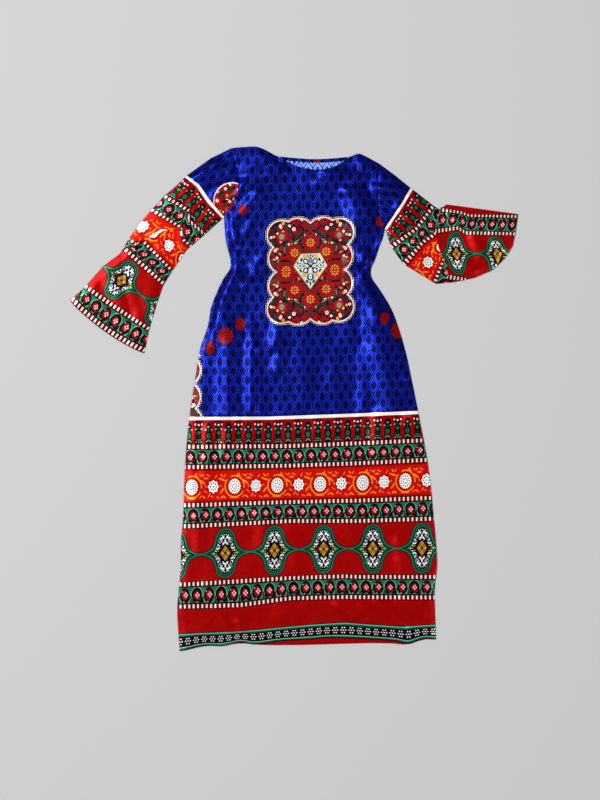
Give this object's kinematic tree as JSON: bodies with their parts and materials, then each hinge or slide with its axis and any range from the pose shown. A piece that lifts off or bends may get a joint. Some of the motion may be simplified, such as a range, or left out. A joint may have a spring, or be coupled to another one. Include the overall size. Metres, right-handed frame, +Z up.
{
  "type": "yemeni dress",
  "caption": "Long printed dress with a boat neck and set-in bell sleeves, laid flat with its front up; it rests on its back panel and the undersides of its sleeves.",
  "frame": {"origin": "middle of the garment's box, on the surface that it lies on", "axes": "+X to the wearer's left, +Y from hem to neck, +Z up from the surface"},
  "size_m": [1.248, 1.408, 0.0168],
  "materials": {
    "front_cloth": "satin-faced printed cloth, royal blue lattice over red, green and orange border bands",
    "back_cloth": "satin-faced printed cloth, its paler wrong side inside",
    "sleeve_cloth": "satin-faced printed cloth with border bands",
    "neck_hem_cloth": "turned-in edge of the printed cloth",
    "skirt_hem_cloth": "turned-in plain red edge of the cloth"
  },
  "bodies": {
    "root": {"front": "front_cloth", "back": "back_cloth", "sleeve_right": "sleeve_cloth", "sleeve_left": "sleeve_cloth", "neck_hem": "neck_hem_cloth", "skirt_hem": "skirt_hem_cloth"}
  },
  "joints": []
}
